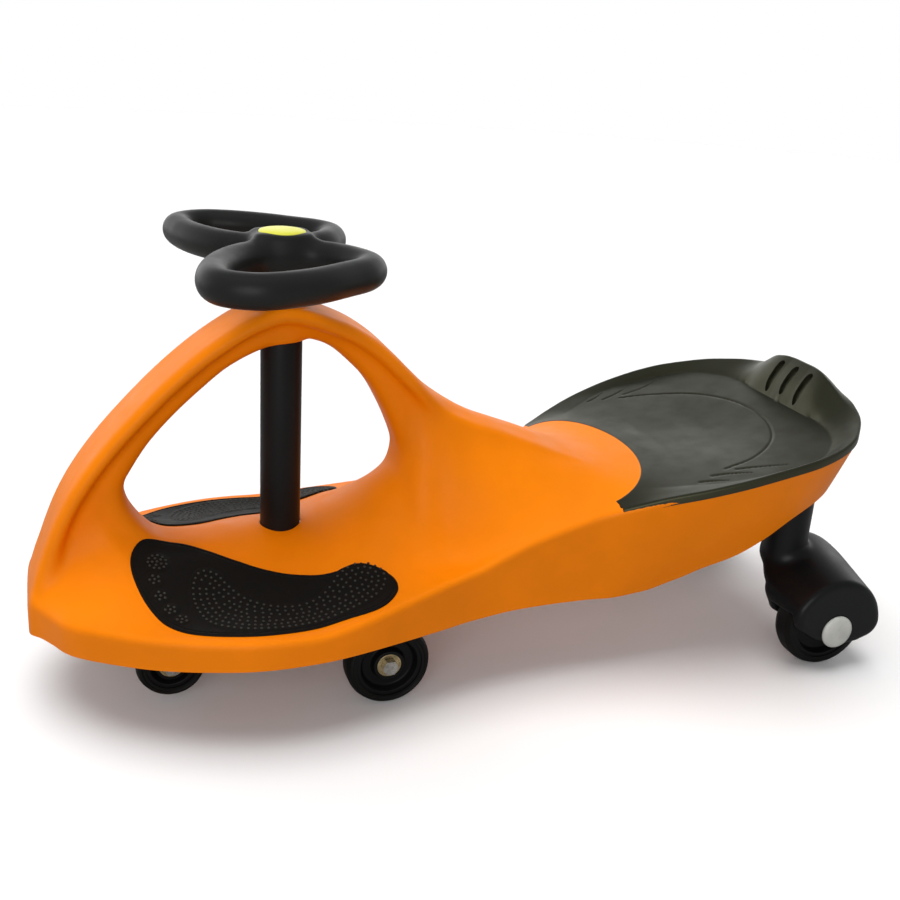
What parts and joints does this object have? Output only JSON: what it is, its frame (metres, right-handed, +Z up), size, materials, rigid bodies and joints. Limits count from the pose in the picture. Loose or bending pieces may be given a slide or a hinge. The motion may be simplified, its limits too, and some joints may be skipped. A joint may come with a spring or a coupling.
{
  "type": "swing car",
  "caption": "Ride-on swing car with a moulded arched body, dished seat, foot pads, and a looped handlebar whose column turns a wheeled arm under the deck.",
  "frame": {"origin": "on the floor, below the middle of the body's length and width", "axes": "+X to the nose, +Y to the rider's left, +Z up"},
  "size_m": [0.7855, 0.327, 0.405],
  "materials": {
    "shell": "satin moulded polypropylene",
    "seat": "satin moulded plastic with fine grain",
    "pad": "dotted anti-slip rubber",
    "bush": "plain acetal",
    "casting": "satin moulded plastic",
    "steel": "zinc plated",
    "axle_cap": "satin",
    "column": "satin",
    "handlebar": "satin",
    "hub_cap": "satin",
    "tyre": "satin polyurethane",
    "wheel_hub": "satin",
    "bearing": "plated"
  },
  "bodies": {
    "body": {"body_shell": "shell", "seat": "seat", "seat_screws": "steel", "foot_pad_left": "pad", "foot_pad_right": "pad", "upper_bush": "bush", "lower_bush": "bush", "rear_leg_left": "casting", "rear_leg_right": "casting", "rear_leg_screws": "steel", "rear_axle_left": "steel", "rear_axle_right": "steel", "rear_axle_nuts": "steel", "axle_cap_left": "axle_cap", "axle_cap_right": "axle_cap"},
    "steering": {"steering_arm": "casting", "steering_shaft": "steel", "steering_nut": "steel", "steering_washer": "steel", "thrust_washer": "bush", "column_sleeve": "column", "steering_wheel": "handlebar", "hub_cap": "hub_cap", "front_axle_left": "steel", "front_axle_right": "steel", "front_axle_nuts": "steel", "nose_axle": "steel", "nose_axle_nut": "steel"},
    "front_wheel_left": {"front_tyre_left": "tyre", "front_hub_left": "wheel_hub", "front_bearings_left": "bearing"},
    "front_wheel_right": {"front_tyre_right": "tyre", "front_hub_right": "wheel_hub", "front_bearings_right": "bearing"},
    "nose_wheel_left": {"nose_tyre_left": "tyre", "nose_hub_left": "wheel_hub", "nose_bearings_left": "bearing"},
    "nose_wheel_right": {"nose_tyre_right": "tyre", "nose_hub_right": "wheel_hub", "nose_bearings_right": "bearing"},
    "rear_wheel_left": {"rear_tyre_left": "tyre", "rear_hub_left": "wheel_hub", "rear_bearings_left": "bearing"},
    "rear_wheel_right": {"rear_tyre_right": "tyre", "rear_hub_right": "wheel_hub", "rear_bearings_right": "bearing"}
  },
  "joints": [
    {"name": "steering_turn", "type": "hinge", "parent": "body", "child": "steering", "pos_m": [0.1717, 0, 0.2], "axis": [0, 0, 1], "continuous": true},
    {"name": "front_wheel_left_spin", "type": "hinge", "parent": "steering", "child": "front_wheel_left", "pos_m": [0.0947, 0.096, 0.038], "axis": [0, 1, 0], "continuous": true},
    {"name": "front_wheel_right_spin", "type": "hinge", "parent": "steering", "child": "front_wheel_right", "pos_m": [0.0947, -0.096, 0.038], "axis": [0, 1, 0], "continuous": true},
    {"name": "nose_wheel_left_spin", "type": "hinge", "parent": "steering", "child": "nose_wheel_left", "pos_m": [0.2787, 0.057, 0.041], "axis": [0, 1, 0], "continuous": true},
    {"name": "nose_wheel_right_spin", "type": "hinge", "parent": "steering", "child": "nose_wheel_right", "pos_m": [0.2787, -0.057, 0.041], "axis": [0, 1, 0], "continuous": true},
    {"name": "rear_wheel_left_spin", "type": "hinge", "parent": "body", "child": "rear_wheel_left", "pos_m": [-0.34002, 0.13201, 0.0445], "axis": [0, 1, 0], "continuous": true},
    {"name": "rear_wheel_right_spin", "type": "hinge", "parent": "body", "child": "rear_wheel_right", "pos_m": [-0.34002, -0.13201, 0.0445], "axis": [0, 1, 0], "continuous": true}
  ]
}
